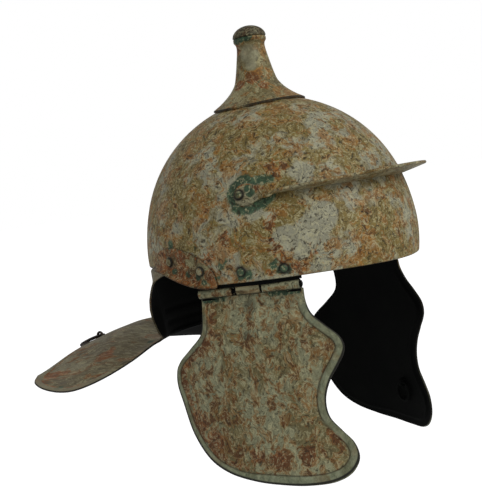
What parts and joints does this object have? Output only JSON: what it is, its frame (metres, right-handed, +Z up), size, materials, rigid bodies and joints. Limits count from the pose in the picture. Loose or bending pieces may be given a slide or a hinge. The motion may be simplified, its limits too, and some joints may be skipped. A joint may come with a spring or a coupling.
{
  "type": "roman legionary helmet",
  "caption": "Sheet-bronze helmet with a crest knob, riveted brow and ear guards, hinged cheek pieces and a broad neck guard with a ring.",
  "frame": {"origin": "middle of the opening for the head, in the plane of the rim", "axes": "+X to the front, +Y to the wearer's left, +Z up towards the crest knob"},
  "size_m": [0.3801, 0.2324, 0.3528],
  "materials": {
    "bowl_bronze": "aged sheet bronze, cream and green-grey patina with ochre and brown blotches",
    "guard_bronze": "aged sheet bronze, grey-green patina with orange-brown blotches",
    "cheek_bronze": "aged sheet bronze, pale grey-green patina with small red-brown blotches, blackened inside",
    "hinge_bronze": "darkened bronze with green in the corners",
    "pin_bronze": "worn bronze wire",
    "rivet_bronze": "aged bronze with green round the edge",
    "knob_bronze": "aged cast bronze, brown-green patina",
    "ring_bronze": "blackened bronze wire",
    "ring_iron": "dark forged iron wire"
  },
  "bodies": {
    "helmet": {"bowl": "bowl_bronze", "neck_guard": "guard_bronze", "brow_guard": "guard_bronze", "ear_guard_right": "guard_bronze", "ear_guard_left": "guard_bronze", "hinge_leaf_right": "hinge_bronze", "hinge_leaf_left": "hinge_bronze", "hinge_pin_right": "pin_bronze", "hinge_pin_left": "pin_bronze", "knob_stem": "knob_bronze", "knob_cap": "knob_bronze", "knob_washer": "knob_bronze", "neck_loop": "ring_iron", "brow_rivet_right": "rivet_bronze", "brow_rivet_left": "rivet_bronze", "ear_rivet_rear_right": "rivet_bronze", "ear_rivet_rear_left": "rivet_bronze", "ear_rivet_front_right": "rivet_bronze", "ear_rivet_front_left": "rivet_bronze", "leaf_rivet_middle_right": "rivet_bronze", "leaf_rivet_middle_left": "rivet_bronze", "leaf_rivet_front_right": "rivet_bronze", "leaf_rivet_front_left": "rivet_bronze", "nape_rivet_right": "rivet_bronze", "nape_rivet_middle": "rivet_bronze", "nape_rivet_left": "rivet_bronze"},
    "cheek_right": {"cheek_piece_right": "cheek_bronze", "tie_loop_right": "ring_bronze"},
    "cheek_left": {"cheek_piece_left": "cheek_bronze", "tie_loop_left": "ring_bronze"},
    "tie_ring_right": {"tie_ring_right": "ring_bronze"},
    "tie_ring_left": {"tie_ring_left": "ring_bronze"},
    "neck_ring": {"neck_ring": "ring_iron"}
  },
  "joints": [
    {"name": "cheek_hinge_right", "type": "hinge", "parent": "helmet", "child": "cheek_right", "pos_m": [0, -0.0939, -0.0059], "axis": [-0.965, -0.2622, 0], "range_deg": [-20, 100]},
    {"name": "cheek_hinge_left", "type": "hinge", "parent": "helmet", "child": "cheek_left", "pos_m": [0, 0.0939, -0.0059], "axis": [0.965, -0.2622, 0], "range_deg": [-20, 100]},
    {"name": "tie_ring_swing_right", "type": "hinge", "parent": "cheek_right", "child": "tie_ring_right", "pos_m": [0.04936, -0.0797, -0.11809], "axis": [0.904, 0.4275, 0], "range_deg": [0, 75]},
    {"name": "tie_ring_swing_left", "type": "hinge", "parent": "cheek_left", "child": "tie_ring_left", "pos_m": [0.04936, 0.0797, -0.11809], "axis": [-0.904, 0.4275, 0], "range_deg": [0, 75]},
    {"name": "neck_ring_swing", "type": "hinge", "parent": "helmet", "child": "neck_ring", "pos_m": [-0.22471, 0, -0.05139], "axis": [0, 1, 0], "range_deg": [0, 150]}
  ]
}
